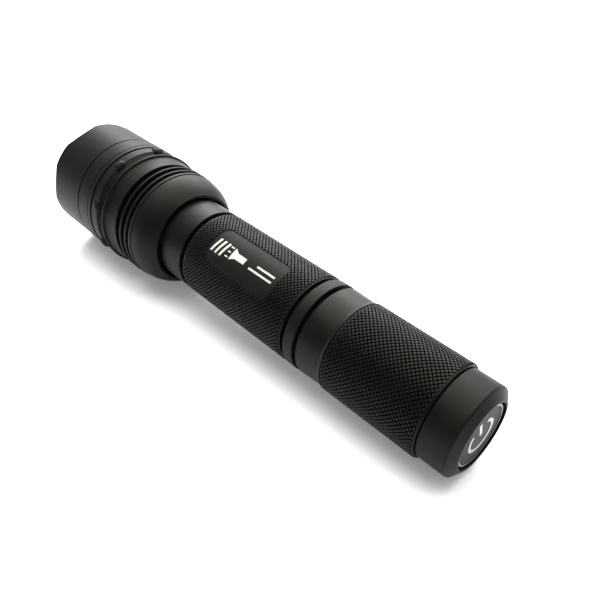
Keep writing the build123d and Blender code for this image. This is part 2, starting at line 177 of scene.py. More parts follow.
def knurl(x_start, x_end, crest_r):
    """A maker for lathe: flat-topped diamonds between two rings at the grooves' floor.
    Odd and even columns swap between groove crossing and diamond centre from one row to the next."""
    pitch = 2 * math.pi * crest_r / (KNURL_SEGMENTS / 2)
    rows = round((x_end - x_start) / (pitch / 2 / math.tan(KNURL_LEAN)))
    row_step = (x_end - x_start) / rows
    floor_r = crest_r - KNURL_DEPTH
    turn = 2 * math.pi / KNURL_SEGMENTS

    def place(row, column, high):
        radius = crest_r if high else floor_r
        return Vector(ring_point(x_start + row * row_step, radius, column * turn))

    def is_high(row, column):
        return 0 < row < rows and (row + column) % 2 == 1

    def diamond_side(bm, low_a, low_b, top):
        """The groove's slope between two crossings, and the part of the flat top above it."""
        edge = []
        for low in (low_a, low_b):
            at = low.co.lerp(top.co, KNURL_SLOPE)
            level = top.co.yz.length / at.yz.length
            edge.append(bm.verts.new((at.x, at.y * level, at.z * level)))
        bm.faces.new((low_a, low_b, edge[1], edge[0]))
        bm.faces.new((edge[0], edge[1], top))

    def make(bm, ring_before, ring_after):
        grid = [ring_before]
        for row in range(1, rows):
            grid.append([bm.verts.new(place(row, c, is_high(row, c))) for c in range(KNURL_SEGMENTS)])
        grid.append(ring_after)
        for row in range(rows):
            for c in range(KNURL_SEGMENTS):
                d = (c + 1) % KNURL_SEGMENTS
                corners = [(row, c), (row, d), (row + 1, d), (row + 1, c)]
                verts = [grid[r][k] for r, k in corners]
                highs = [is_high(r, k) for r, k in corners]
                if sum(highs) == 2:
                    first = highs.index(False)
                    low_a, low_b = verts[first], verts[first + 2]
                    for top in (verts[(first + 1) % 4], verts[(first + 3) % 4]):
                        diamond_side(bm, low_a, low_b, top)
                elif sum(highs) == 1:
                    top_index = highs.index(True)
                    top = verts[top_index]
                    low_a, far, low_b = (verts[(top_index + k) % 4] for k in (1, 2, 3))
                    diamond_side(bm, low_a, low_b, top)
                    bm.faces.new((low_a, far, low_b))
                else:
                    bm.faces.new(verts)
        bmesh.ops.remove_doubles(bm, verts=bm.verts, dist=1e-7)

    return make


THREAD_PITCH = 1.0
THREAD_DEPTH = 0.3
THREAD_FADE = 0.6


def thread(x_start, x_end, crest_r):
    """A maker for lathe: a helical V thread that fades in and out at its ends."""
    rows = round((x_end - x_start) / (THREAD_PITCH / 8))
    turn = 2 * math.pi / SEGMENTS

    def make(bm, ring_before, ring_after):
        rings = [ring_before]
        for row in range(1, rows):
            x = x_start + (x_end - x_start) * row / rows
            fade = min(1, (x - x_start) / THREAD_FADE, (x_end - x) / THREAD_FADE)
            ring = []
            for column in range(SEGMENTS):
                phase = (x / THREAD_PITCH - column / SEGMENTS) % 1
                depth = THREAD_DEPTH * fade * (1 - abs(2 * phase - 1))
                ring.append(bm.verts.new(ring_point(x, crest_r - depth, column * turn)))
            rings.append(ring)
        rings.append(ring_after)
        for number in range(rows):
            bridge(bm, rings[number], rings[number + 1])

    return make


# ---------------------------------------------------------------- materials

SHEEN_TINT = (0.92, 1.0, 0.84, 1)
WORN_METAL = (0.06, 0.064, 0.062, 1)


def new_material(name):
    material = bpy.data.materials.new(name)
    material.use_nodes = True
    nodes = material.node_tree.nodes
    shader = nodes["Principled BSDF"]
    return material, nodes, material.node_tree.links, shader


def noise(nodes, links, scale, detail, stretch=(1, 1, 1)):
    """A noise texture in the object's own coordinates, scale in cycles per metre."""
    coords = nodes.new("ShaderNodeTexCoord")
    mapping = nodes.new("ShaderNodeMapping")
    mapping.inputs["Scale"].default_value = stretch
    texture = nodes.new("ShaderNodeTexNoise")
    texture.inputs["Scale"].default_value = scale
    texture.inputs["Detail"].default_value = detail
    links.new(coords.outputs["Object"], mapping.inputs["Vector"])
    links.new(mapping.outputs["Vector"], texture.inputs["Vector"])
    return texture


def ramp(nodes, links, source, low, high, start=0.3, end=0.7):
    """A colour ramp from low to high over a stretch of the source's value."""
    node = nodes.new("ShaderNodeValToRGB")
    node.color_ramp.elements[0].position = start
    node.color_ramp.elements[1].position = end
    node.color_ramp.elements[0].color = low
    node.color_ramp.elements[1].color = high
    links.new(source, node.inputs["Fac"])
    return node


def grey(value):
    return (value, value, value, 1)


def bump(nodes, links, shader, height, strength, distance, before=None):
    node = nodes.new("ShaderNodeBump")
    node.inputs["Strength"].default_value = strength
    node.inputs["Distance"].default_value = distance
    links.new(height, node.inputs["Height"])
    if before:
        links.new(before.outputs["Normal"], node.inputs["Normal"])
    links.new(node.outputs["Normal"], shader.inputs["Normal"])
    return node


def anodised(name, colour, roughness, turning=0.0):
    """Hard-anodised aluminium: a fine blasted grain, faint blotches, and worn edges.
    turning is the strength of the lathe's rings under the anodising."""
    material, nodes, links, shader = new_material(name)
    shader.inputs["Specular IOR Level"].default_value = 0.10
    shader.inputs["Specular Tint"].default_value = SHEEN_TINT
    blotch = noise(nodes, links, 180, 3)
    darker = tuple(0.8 * c for c in colour) + (1,)
    lighter = tuple(1.25 * c for c in colour) + (1,)
    body = ramp(nodes, links, blotch.outputs["Fac"], darker, lighter)
    geometry = nodes.new("ShaderNodeNewGeometry")
    worn = ramp(nodes, links, geometry.outputs["Pointiness"], grey(0), grey(1), 0.56, 0.68)
    patchy = noise(nodes, links, 900, 4)
    patches = ramp(nodes, links, patchy.outputs["Fac"], grey(0), grey(0.6), 0.45, 0.75)
    wear = nodes.new("ShaderNodeMath")
    wear.operation = "MULTIPLY"
    links.new(worn.outputs["Color"], wear.inputs[0])
    links.new(patches.outputs["Color"], wear.inputs[1])
    mix = nodes.new("ShaderNodeMix")
    mix.data_type = "RGBA"
    mix.inputs["B"].default_value = WORN_METAL
    links.new(wear.outputs["Value"], mix.inputs["Factor"])
    links.new(body.outputs["Color"], mix.inputs["A"])
    links.new(mix.outputs["Result"], shader.inputs["Base Color"])
    grain = noise(nodes, links, 9000, 4)
    rough = ramp(nodes, links, grain.outputs["Fac"], grey(roughness - 0.05), grey(roughness + 0.07))
    links.new(rough.outputs["Color"], shader.inputs["Roughness"])
    first = bump(nodes, links, shader, grain.outputs["Fac"], 0.25, 0.00003)
    if turning:
        rings = noise(nodes, links, 100, 2, (60, 0.6, 0.6))
        bump(nodes, links, shader, rings.outputs["Fac"], turning, 0.00002, first)
    return material


def rubber(name, value, roughness):
    """Moulded black rubber with a fine dusty speckle."""
    material, nodes, links, shader = new_material(name)
    shader.inputs["Specular IOR Level"].default_value = 0.12
    shader.inputs["Specular Tint"].default_value = SHEEN_TINT
    speckle = noise(nodes, links, 2500, 5)
    colour = ramp(nodes, links, speckle.outputs["Fac"], grey(value * 0.7), grey(value * 1.4))
    links.new(colour.outputs["Color"], shader.inputs["Base Color"])
    rough = ramp(nodes, links, speckle.outputs["Fac"], grey(roughness - 0.06), grey(roughness + 0.06))
    links.new(rough.outputs["Color"], shader.inputs["Roughness"])
    bump(nodes, links, shader, speckle.outputs["Fac"], 0.35, 0.00005)
    return material


def metal(name, colour, roughness, stretch=(1, 1, 1), scale=1500, strength=0.15):
    """Bare metal with fine marks drawn out along one direction."""
    material, nodes, links, shader = new_material(name)
    shader.inputs["Metallic"].default_value = 1.0
    marks = noise(nodes, links, scale, 4, stretch)
    darker = tuple(0.82 * c for c in colour) + (1,)
    lighter = tuple(min(1, 1.12 * c) for c in colour) + (1,)
    tone = ramp(nodes, links, marks.outputs["Fac"], darker, lighter)
    links.new(tone.outputs["Color"], shader.inputs["Base Color"])
    rough = ramp(nodes, links, marks.outputs["Fac"], grey(roughness * 0.8), grey(roughness * 1.25))
    links.new(rough.outputs["Color"], shader.inputs["Roughness"])
    bump(nodes, links, shader, marks.outputs["Fac"], strength, 0.00003)
    return material


def plastic(name, colour, roughness, scale=1800, strength=0.2):
    """Moulded plastic, paint or solder mask with a fine texture."""
    material, nodes, links, shader = new_material(name)
    texture = noise(nodes, links, scale, 4)
    darker = tuple(0.85 * c for c in colour) + (1,)
    lighter = tuple(min(1, 1.1 * c) for c in colour) + (1,)
    tone = ramp(nodes, links, texture.outputs["Fac"], darker, lighter)
    links.new(tone.outputs["Color"], shader.inputs["Base Color"])
    rough = ramp(nodes, links, texture.outputs["Fac"], grey(roughness - 0.06), grey(roughness + 0.08))
    links.new(rough.outputs["Color"], shader.inputs["Roughness"])
    bump(nodes, links, shader, texture.outputs["Fac"], strength, 0.00003)
    return material


def lens_glass(name):
    """Clear glass with faint smears."""
    material, nodes, links, shader = new_material(name)
    shader.inputs["Base Color"].default_value = (0.96, 0.985, 0.98, 1)
    shader.inputs["Transmission Weight"].default_value = 1.0
    shader.inputs["IOR"].default_value = 1.5
    dust = noise(nodes, links, 700, 6)
    rough = ramp(nodes, links, dust.outputs["Fac"], grey(0.0), grey(0.06), 0.55, 0.8)
    links.new(rough.outputs["Color"], shader.inputs["Roughness"])
    return material


BLACK = (0.0032, 0.0037, 0.0029)
anodised_smooth = anodised("anodised_smooth", BLACK, 0.50, turning=0.25)
anodised_knurl = anodised("anodised_knurl", BLACK, 0.44)
# The next material is painted shade: a darker, duller copy of the anodised finish for the selector ring's
# shadowed cove.
anodised_painted_shade = anodised("anodised_painted_shade", (0.003, 0.0034, 0.0028), 0.6)
anodised_pad = anodised("anodised_pad", (0.0050, 0.0056, 0.0048), 0.55)
black_rubber = rubber("black_rubber", 0.003, 0.7)
stud_rubber = rubber("stud_rubber", 0.004, 0.6)
button_metal = anodised("button_metal", (0.008, 0.0085, 0.0085), 0.55)
etched_metal = metal("etched_metal", (0.30, 0.29, 0.27), 0.40, scale=5000, strength=0.5)
mirror_metal = metal("mirror_metal", (0.92, 0.92, 0.93), 0.06, scale=1400, strength=0.25)
brass = metal("turned_brass", (0.78, 0.56, 0.25), 0.25, (30, 1, 1), 200)
steel = metal("spring_steel", (0.62, 0.62, 0.63), 0.25)
white_print = plastic("white_print", (0.48, 0.48, 0.43), 0.5, strength=0.1)
white_plastic = plastic("white_plastic", (0.8, 0.8, 0.78), 0.45)
board_mask = plastic("board_mask", (0.015, 0.10, 0.04), 0.35)
phosphor = plastic("emitter_phosphor", (0.85, 0.70, 0.12), 0.2)
cell_wrap = plastic("cell_wrap", (0.03, 0.08, 0.22), 0.3, 600)
switch_plastic = plastic("switch_plastic", (0.02, 0.02, 0.02), 0.45)
glass = lens_glass("lens_glass")


def dress(piece, material, body, replaces=None):
    """Gives a piece its material and its body, and hides the CAD node that it stands for."""
    piece.data.materials.clear()
    piece.data.materials.append(material)
    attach(piece, body)
    if replaces:
        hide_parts(replaces)


# ---------------------------------------------------------------- tail cap and button

def build_tail():
    """The tail cap with its O-ring groove and thread, the button in its face, and the button's seal."""
    _, cap_end, _ = span("tail_cap")
    cap_r = 12.0
    button_hole_r = 8.9
    switch_bore_r = 9.3
    seam_x = 9.2
    spigot_r = 11.35
    groove = (10.6, 11.8)
    groove_r = 10.25
    thread_x = (12.4, 18.2)
    hole_end = 3.5
    cap = lathe("tail_cap_turned", [
        (0, button_hole_r, 0.1),
        (0, button_hole_r + 0.5, 0.15),
        (1.65, cap_r, 0.3),
        (seam_x, cap_r, 0.25),
        (seam_x, spigot_r),
        (groove[0], spigot_r),
        (groove[0], groove_r),
        (groove[1], groove_r),
        (groove[1], spigot_r, 0.1),
        (thread_x[0], spigot_r),
        (thread_x[1], spigot_r),
        (cap_end, 10.9, 0.1),
        (cap_end, switch_bore_r, 0.1),
        (hole_end, switch_bore_r),
        (hole_end, button_hole_r),
    ], fill=(thread_x[0], thread(*thread_x, spigot_r)))
    dress(cap, anodised_smooth, "tail_cap", "tail_cap")

    face_x, back_x, button_r = span("button_cap")
    rim_line = button_r - 0.75
    button = lathe("button_cap_turned", [
        (face_x + 0.12, 0),
        (face_x + 0.12, rim_line - 0.1, 0.08),
        (face_x, rim_line, 0.06),
        (face_x, button_r, 0.2),
        (back_x, button_r, 0.1),
        (back_x, 0),
    ], closed=False)
    dress(button, button_metal, "tail_button", "button_cap")

    seal_x, seal_end, flange_r = span("button_seal")
    flange_x = hole_end + 0.1
    seal = lathe("button_seal_moulded", [
        (seal_x, 0),
        (seal_x, button_r, 0.2),
        (flange_x, button_r, 0.15),
        (flange_x, flange_r, 0.15),
        (seal_end, flange_r, 0.15),
        (seal_end, 0),
    ], closed=False)
    dress(seal, black_rubber, "tail_button", "button_seal")


def ribbon(bm, centre_line, width, x_low, x_high):
    """A thin raised ribbon on the tail face, along points (y, z), with square ends."""
    left, right = [], []
    for index, point in enumerate(centre_line):
        before = Vector(centre_line[max(0, index - 1)])
        after = Vector(centre_line[min(len(centre_line) - 1, index + 1)])
        side = (after - before).normalized().orthogonal() * (width / 2)
        left.append(Vector(point) + side)
        right.append(Vector(point) - side)
    levels = []
    for x in (x_low, x_high):
        sides = [[bm.verts.new((x * MM, p.x * MM, p.y * MM)) for p in row] for row in (left, right)]
        levels.append(sides)
    (low_l, low_r), (high_l, high_r) = levels
    for k in range(len(centre_line) - 1):
        bm.faces.new((low_l[k], low_l[k + 1], low_r[k + 1], low_r[k]))
        bm.faces.new((high_l[k], high_r[k], high_r[k + 1], high_l[k + 1]))
        bm.faces.new((low_l[k], high_l[k], high_l[k + 1], low_l[k + 1]))
        bm.faces.new((low_r[k], low_r[k + 1], high_r[k + 1], high_r[k]))
    for k in (0, -1):
        bm.faces.new((low_l[k], low_r[k], high_r[k], high_l[k]))


def build_button_mark():
    """A plain on-off symbol on the button, an open ring and a bar, and a bright line round its rim."""
    face_x, _, button_r = span("button_cap")
    ring_r = 0.5 * button_r
    rim_r = button_r - 0.45
    gap = math.radians(38)
    lean = math.radians(20)
    symbol_width = 0.95
    rim_width = 0.22
    foot_x = face_x + 0.16

    def at(radius, angle):
        return radius * math.sin(angle), radius * math.cos(angle)

    def turns(first, last, steps):
        return [first + (last - first) * step / steps for step in range(steps + 1)]

    arc_line = [at(ring_r, angle + lean) for angle in turns(gap, 2 * math.pi - gap, 48)]
    bar_line = [at(reach * ring_r, lean) for reach in (0.1, 0.6, 1.25)]
    rim_line = [at(rim_r, angle) for angle in turns(0, 2 * math.pi, 120)]
    bm = bmesh.new()
    ribbon(bm, arc_line, symbol_width, foot_x, face_x + 0.04)
    ribbon(bm, bar_line, symbol_width, foot_x, face_x + 0.04)
    ribbon(bm, rim_line, rim_width, foot_x, face_x - 0.01)
    mark = finish_mesh("button_mark", bm)
    dress(mark, etched_metal, "tail_button")


# ---------------------------------------------------------------- battery tubes

def build_rear_tube():
    x_start, x_end, crest_r = span("rear_tube")
    floor_r = crest_r - KNURL_DEPTH
    rim_x = 38.0
    knurl_x = (x_start + 0.3, rim_x - 0.35)
    waist = (38.7, 12.35)
    socket_x = 41.0
    tail_bore_end = 19.5
    tube = lathe("rear_tube_knurled", [
        (x_start, TAIL_BORE_R, 0.1),
        (x_start, floor_r - 0.15, 0.1),
        (knurl_x[0], floor_r),
        (knurl_x[1], floor_r),
        (knurl_x[1] + 0.03, crest_r - 0.05, 0.05),
        (rim_x, crest_r - 0.03, 0.08),
        (*waist, 0.25),
        (x_end, SMOOTH_TUBE_R, 0.25),
        (x_end, SPIGOT_R),
        (socket_x, SPIGOT_R),
        (socket_x, BATTERY_BORE_R),
        (tail_bore_end, BATTERY_BORE_R),
        (tail_bore_end, TAIL_BORE_R),
    ], segments=KNURL_SEGMENTS, fill=(knurl_x[0], knurl(*knurl_x, crest_r)))
    dress(tube, anodised_knurl, "barrel", "rear_tube")


def band(node, name, material, inner_r):
    """A plain ring with eased edges that stands for a round CAD node in the barrel."""
    x_start, x_end, radius = span(node)
    ring = lathe(name, [
        (x_start, inner_r),
        (x_start, radius, 0.3),
        (x_end, radius, 0.3),
        (x_end, inner_r),
    ])
    dress(ring, material, "barrel", node)


def build_joint():
    """The two rubber washers and the ring between the tubes."""
    band("rear_washer", "rear_washer_moulded", black_rubber, SPIGOT_R)
    band("front_washer", "front_washer_moulded", black_rubber, SPIGOT_R)
    band("middle_ring", "middle_ring_turned", anodised_smooth, SPIGOT_R)


PAD_X = (59.8, 85.4)
PAD_ANGLES = (1.0, 57.5)
PAD_CORNER = 2.5
PAD_DEPTH = 0.27
PAD_STRIPS = 40


def pad_outline(x_low, x_high, arc_low, arc_high, corner, steps=10):
    """A rounded rectangle, in mm along the tube and mm round it."""
    points = []
    centres = [
        (x_high - corner, arc_high - corner, 0),
        (x_low + corner, arc_high - corner, 90),
        (x_low + corner, arc_low + corner, 180),
        (x_high - corner, arc_low + corner, 270),
    ]
    for cx, cy, first in centres:
        for step in range(steps + 1):
            angle = math.radians(first + 90 * step / steps)
            points.append((cx + corner * math.cos(angle), cy + corner * math.sin(angle)))
    return points


def pad_cutter(tube_r):
    """What the label pad is milled with: a curved block down to the pad's floor."""
    floor_r = tube_r - PAD_DEPTH
    top_r = tube_r + 1
    low, high = (math.radians(a) * tube_r for a in PAD_ANGLES)
    outline = pad_outline(*PAD_X, low, high, PAD_CORNER)
    bm = bmesh.new()
    rings = []
    for radius in (floor_r, top_r):
        rings.append([bm.verts.new(ring_point(x, radius, a / tube_r)) for x, a in outline])
    for k in range(len(outline)):
        after = (k + 1) % len(outline)
        bm.faces.new((rings[0][k], rings[0][after], rings[1][after], rings[1][k]))
    for ring in rings:
        bm.faces.new(ring)
    for strip in range(1, PAD_STRIPS):
        angle = (low + (high - low) * strip / PAD_STRIPS) / tube_r
        normal = Vector((0, math.cos(angle), -math.sin(angle)))
        bmesh.ops.bisect_plane(
            bm, geom=bm.verts[:] + bm.edges[:] + bm.faces[:], plane_co=(0, 0, 0), plane_no=normal
        )
    for vert in bm.verts:
        level = floor_r if vert.co.yz.length < (floor_r + 0.2) * MM else top_r
        scale = level * MM / vert.co.yz.length
        vert.co.y *= scale
        vert.co.z *= scale
    bmesh.ops.triangulate(bm, faces=bm.faces)
    return finish_mesh("pad_cutter", bm)


def build_front_tube():
    """The knurled grip with its label pad, the O-ring's groove, the collar and the neck in the head."""
    x_start, x_end, crest_r = span("front_tube")
    grip = (51.95, 92.15)
    floor_r = crest_r - KNURL_DEPTH
    knurl_x = (grip[0] + 0.3, grip[1] - 0.3)
    collar_x = 93.35
    neck_groove = (105.8, 107.0)
    neck_groove_r = 10.4
    tube = lathe("front_tube_knurled", [
        (x_start, BATTERY_BORE_R),
        (x_start, SPIGOT_R),
        (grip[0], SPIGOT_R),
        (grip[0], floor_r - 0.15, 0.1),
        (knurl_x[0], floor_r),
        (knurl_x[1], floor_r),
        (grip[1], floor_r - 0.15, 0.1),
        (grip[1], GROOVE_R),
        (collar_x, GROOVE_R),
        (collar_x, SMOOTH_TUBE_R, 0.25),
        (COLLAR_END, SMOOTH_TUBE_R),
        (COLLAR_END, NECK_R),
        (neck_groove[0], NECK_R),
        (neck_groove[0], neck_groove_r),
        (neck_groove[1], neck_groove_r),
        (neck_groove[1], NECK_R),
        (x_end, NECK_R, 0.3),
        (x_end, BATTERY_BORE_R),
    ], segments=KNURL_SEGMENTS, fill=(knurl_x[0], knurl(*knurl_x, crest_r)))
    cutter = pad_cutter(crest_r)
    cutter.data.materials.append(anodised_pad)
    dress(tube, anodised_knurl, "barrel", "front_tube")
    tube.data.materials.append(anodised_pad)
    cut = tube.modifiers.new("pad", "BOOLEAN")
    cut.operation = "DIFFERENCE"
    cut.solver = "EXACT"
    cut.material_mode = "TRANSFER"
    cut.object = cutter
    bpy.context.view_layer.objects.active = tube
    bpy.ops.object.modifier_apply(modifier=cut.name)
    bpy.data.objects.remove(cutter)
    tube.data.set_sharp_from_angle(angle=math.radians(SHARP_DEG))

    band("grip_o_ring", "grip_o_ring_moulded", black_rubber, GROOVE_R)


def patch(bm, corners, tube_r, thick=0.03, steps=8):
    """A thin closed patch on the tube. corners are four (x, mm round) points."""
    a, b, c, d = (Vector(p) for p in corners)

    def level(radius):
        rows = []
        for i in range(steps + 1):
            row = []
            for j in range(steps + 1):
                s, t = i / steps, j / steps
                p = a * (1 - s) * (1 - t) + b * s * (1 - t) + c * s * t + d * (1 - s) * t
                row.append(bm.verts.new(ring_point(p.x, radius, p.y / tube_r)))
            rows.append(row)
        return rows

    low, high = level(tube_r - thick), level(tube_r + thick / 3)
    for rows in (low, high):
        for i in range(steps):
            for j in range(steps):
                bm.faces.new((rows[i][j], rows[i + 1][j], rows[i + 1][j + 1], rows[i][j + 1]))
    rim = [(i, 0) for i in range(steps)] + [(steps, j) for j in range(steps)]
    rim += [(steps - i, steps) for i in range(steps)] + [(0, steps - j) for j in range(steps)]
    for k, (i, j) in enumerate(rim):
        m, n = rim[(k + 1) % len(rim)]
        bm.faces.new((low[i][j], low[m][n], high[m][n], high[i][j]))


def build_print():
    """White generic marks on the pad: three slanted bars, a torch pictogram and two rules."""
    tube_r = span("front_tube")[2] - PAD_DEPTH
    middle = math.radians(sum(PAD_ANGLES) / 2) * tube_r
    bm = bmesh.new()

    def bar(x, y, length, width, lean=0.0):
        """A bar whose length runs along the tube. lean slants its ends."""
        low, high = middle + y - width / 2, middle + y + width / 2
        patch(bm, [(x, low), (x + length, low), (x + length + lean, high), (x + lean, high)], tube_r)

    for number in range(3):
        bar(79.4 + 1.7 * number, 0.2, 0.75, 4.4, 0.8)
    torch_x, neck_x, mouth_x = 72.0, 75.4, 77.2
    neck_half, mouth_half = 0.9, 1.9
    bar(torch_x, 0, neck_x - torch_x, 2 * neck_half)
    patch(bm, [
        (neck_x, middle - neck_half),
        (mouth_x, middle - mouth_half),
        (mouth_x, middle + mouth_half),
        (neck_x, middle + neck_half),
    ], tube_r)
    for number in (-1, 0, 1):
        bar(77.8, 1.5 * number, 1.1, 0.4)
    for y, length in ((0.8, 8.6), (-0.8, 6.6)):
        bar(61.3, y, length, 0.55)
    marks = finish_mesh("pad_print", bm)
    dress(marks, white_print, "barrel")


# ---------------------------------------------------------------- head

def build_head():
    """The bell, its land, two fins and the flared flange, with the spigot for the front ring."""
    rear_x, spigot_end, flange_r = span("head_body")
    undercut_r = 13.35
    rear_land = (111.05, 112.05)
    rear_land_r = 17.45
    fin_r = 17.6
    flange_x = 118.9
    flange_end = 124.95
    board_x = 118.2
    spigot_bore_r = 14.6
    bell = arc((rear_x + 0.4, 14.35), (105.7, 16.15), (110.9, 17.2), 16)
    flange = arc((119.0, 17.3), (121.6, 17.4), (124.0, 17.75), 12)
    floor_r = 15.4
    fins = []
    for start, end in ((113.15, 114.0), (115.7, 116.55)):
        fins += [(start, floor_r), (start, fin_r, 0.3), (end, fin_r, 0.3), (end, floor_r)]
    head = lathe("head_body_turned", [
        (COLLAR_END, undercut_r),
        (rear_x, undercut_r, 0.15),
        (rear_x, 14.1, 0.2),
        *bell,
        (rear_land[0], rear_land_r, 0.08),
        (rear_land[1], rear_land_r, 0.2),
        (rear_land[1], floor_r),
        *fins,
        (flange_x, floor_r),
        (flange_x, 17.25, 0.06),
        *flange,
        (124.3, flange_r, 0.2),
        (flange_end, flange_r, 0.2),
        (flange_end, HEAD_BORE_R),
        (spigot_end, HEAD_BORE_R, 0.2),
        (spigot_end, spigot_bore_r),
        (board_x, spigot_bore_r),
        (board_x, NECK_R),
        (COLLAR_END, NECK_R),
    ])
    dress(head, anodised_smooth, "barrel", "head_body")


def build_selector():
    """The turning ring, with painted shade on the cove behind its studs: a darker and duller copy of its
    finish.
    """
    x_start, x_end, radius = span("selector_ring")
    bore_r = 15.65
    cove_end = 128.2
    ring = lathe("selector_ring_turned", [
        (x_start, bore_r),
        *arc((x_start, 16.85), (126.8, 17.15), (cove_end, radius), 12),
        (x_end, radius, 0.2),
        (x_end, bore_r),
    ])
    dress(ring, anodised_smooth, "selector", "selector_ring")
    # The cove's faces take the darker copy of the finish as painted shade.
    ring.data.materials.append(anodised_painted_shade)
    for face in ring.data.polygons:
        if face.center.x < (cove_end - 0.3) * MM:
            face.material_index = 1
    build_studs()


STUD_COUNT = 8
STUD_PHASE = 23.3
STUD_X = 128.7
STUD_HALF_LENGTH = 1.6
STUD_HALF_WIDTH = 2.5
STUD_TIP_R = 18.95
STUD_ROOT_R = 16.6
STUD_FLATNESS = 2.6


def build_studs():
    """Low rubber studs, domed along and across, with their roots sunk in the selector ring."""
    bm = bmesh.new()
    steps = 14
    for number in range(STUD_COUNT):
        centre = math.radians(STUD_PHASE + 360 / STUD_COUNT * number)
        grid = []
        for i in range(steps + 1):
            row = []
            for j in range(steps + 1):
                u, v = 2 * i / steps - 1, 2 * j / steps - 1
                x = STUD_X + STUD_HALF_LENGTH * u * math.sqrt(1 - v * v / 2)
                along = STUD_HALF_WIDTH * v * math.sqrt(1 - u * u / 2)
                out = max(abs(u), abs(v))
                rise = math.sqrt(max(0, 1 - out**STUD_FLATNESS))
                radius = STUD_ROOT_R + (STUD_TIP_R - STUD_ROOT_R) * rise
                row.append(bm.verts.new(ring_point(x, radius, centre + along / STUD_TIP_R)))
            grid.append(row)
        for i in range(steps):
            for j in range(steps):
                bm.faces.new((grid[i][j], grid[i + 1][j], grid[i + 1][j + 1], grid[i][j + 1]))
        rim = [grid[i][0] for i in range(steps)]
        rim += [grid[steps][j] for j in range(steps)]
        rim += [grid[steps - i][steps] for i in range(steps)]
        rim += [grid[0][steps - j] for j in range(steps)]
        bm.faces.new(rim)
    studs = finish_mesh("selector_studs_moulded", bm, 60)
    dress(studs, stud_rubber, "selector", "selector_studs")


def build_front_ring():
    """The ring in front of the selector, with a turned line."""
    x_start, x_end, radius = span("front_ring")
    line_x = x_start + 1.5
    ring = lathe("front_ring_turned", [
        (x_start, HEAD_BORE_R),
        (x_start, radius, 0.2),
        (line_x, radius, 0.06),
        (line_x + 0.15, radius - 0.2),
        (line_x + 0.3, radius, 0.06),
        (x_end, radius, 0.2),
        (x_end, HEAD_BORE_R),
    ])
    dress(ring, anodised_smooth, "barrel", "front_ring")


SCALLOP_COUNT = 6
SCALLOP_DEPTH = 1.2
SCALLOP_HALF_CHORD = 5.5
SCALLOP_REACH = 0.5
CREST_ANGLE = 47.0


def build_bezel():
    """The bezel. The rings of vertices nearest its front edge are drawn back to make the scallops."""
    x_start, x_end, radius = span("bezel_ring")
    lip_x, lip_r = 152.1, 15.3
    lens_seat_r = 16.3
    seat_x = 142.6
    scallop_r = (SCALLOP_HALF_CHORD**2 + SCALLOP_DEPTH**2) / (2 * SCALLOP_DEPTH)
    step = 2 * math.pi / SCALLOP_COUNT
    first = math.radians(CREST_ANGLE) + step / 2

    def scallop(x, r, angle):
        if x < x_end - SCALLOP_REACH:
            return 0
        off = (angle - first + step / 2) % step - step / 2
        across = min(abs(r * math.sin(off)), SCALLOP_HALF_CHORD)
        return -(SCALLOP_DEPTH - (scallop_r - math.sqrt(scallop_r**2 - across**2)))

    bezel = lathe("bezel_ring_turned", [
        (x_start, HEAD_BORE_R),
        (x_start, radius, 0.2),
        (x_end - 1.6, radius),
        (x_end - 0.45, radius),
        (x_end, radius, 0.35),
        (x_end, 16.7, 0.2),
        (x_end - 1.75, lip_r, 0.1),
        (lip_x, lip_r),
        (lip_x, lens_seat_r),
        (seat_x, lens_seat_r),
        (seat_x, HEAD_BORE_R),
    ], segments=FINE_SEGMENTS, shift=scallop)
    dress(bezel, anodised_smooth, "barrel", "bezel_ring")


def build_optics():
    """The parabolic reflector with its flange, and the flat lens."""
    x_start, x_end, flange_r = span("reflector")
    hole_r, mouth_r, wall = 3.6, 15.3, 0.7
    slope = (mouth_r**2 - hole_r**2) / (x_end - x_start)
    steps = 60

    def bowl(step):
        x = x_start + (x_end - x_start) * (step / steps) ** 2
        return x, math.sqrt(hole_r**2 + slope * (x - x_start))

    inner = [bowl(step) for step in range(steps + 1)]
    flange_x = x_end - 1.3
    outer = [(x, r + wall) for x, r in inner if x < flange_x - 0.3]
    reflector = lathe("reflector_bowl", [
        *inner,
        (x_end, flange_r),
        (flange_x, flange_r),
        (flange_x, outer[-1][1] + 0.1),
        *reversed(outer),
    ], segments=192)
    dress(reflector, mirror_metal, "barrel", "reflector")

    lens_x, lens_end, lens_r = span("front_lens")
    lens = lathe("front_lens_disc", [
        (lens_x, 0),
        (lens_x, lens_r, 0.3),
        (lens_end, lens_r, 0.3),
        (lens_end, 0),
    ], closed=False, segments=192)
    dress(lens, glass, "barrel", "front_lens")


# ---------------------------------------------------------------- CAD nodes that stay

KEPT = {
    "lens_o_ring": black_rubber,
    "head_o_ring": black_rubber,
    "tail_o_ring": black_rubber,
    "led_gasket": white_plastic,
    "led_emitter": phosphor,
    "led_board": board_mask,
    "driver_board": board_mask,
    "board_screws": steel,
    "detent_ball": steel,
    "detent_spring": steel,
    "driver_spring": steel,
    "tail_spring": steel,
    "selector_magnet": steel,
    "driver_retaining_ring": brass,
    "switch_retaining_ring": brass,
    "switch_plunger": brass,
    "switch_housing": switch_plastic,
    "cell_front": cell_wrap,
    "cell_rear": cell_wrap,
}


def dress_kept_nodes():
    """Gives each CAD node that shows as it is a detailed material."""
    for node, material in KEPT.items():
        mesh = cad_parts[node].data
        mesh.materials.clear()
        mesh.materials.append(material)


# ---------------------------------------------------------------- floor, light and camera

FLOOR_HALF_SIZE = 6.0
FLOOR_DROP = 0.00015
FLOOR_WHITE = (0.92, 0.915, 0.905, 1)
FLOOR_GLOW = (1.0, 0.985, 0.96, 1)

# The studio's light comes mostly from this direction. Its level runs from dim to bright as the cosine
# of the angle to it runs over SKY_RANGE.
SKY_TOWARDS = (0.45, -0.55, 0.70)
SKY_RANGE = (-0.35, 0.75)
SKY_LEVELS = (0.02, 0.9)
SKY_COLOUR = (0.97, 0.985, 1.0, 1)
BACKDROP_COLOUR = (0.93, 0.94, 0.95, 1)

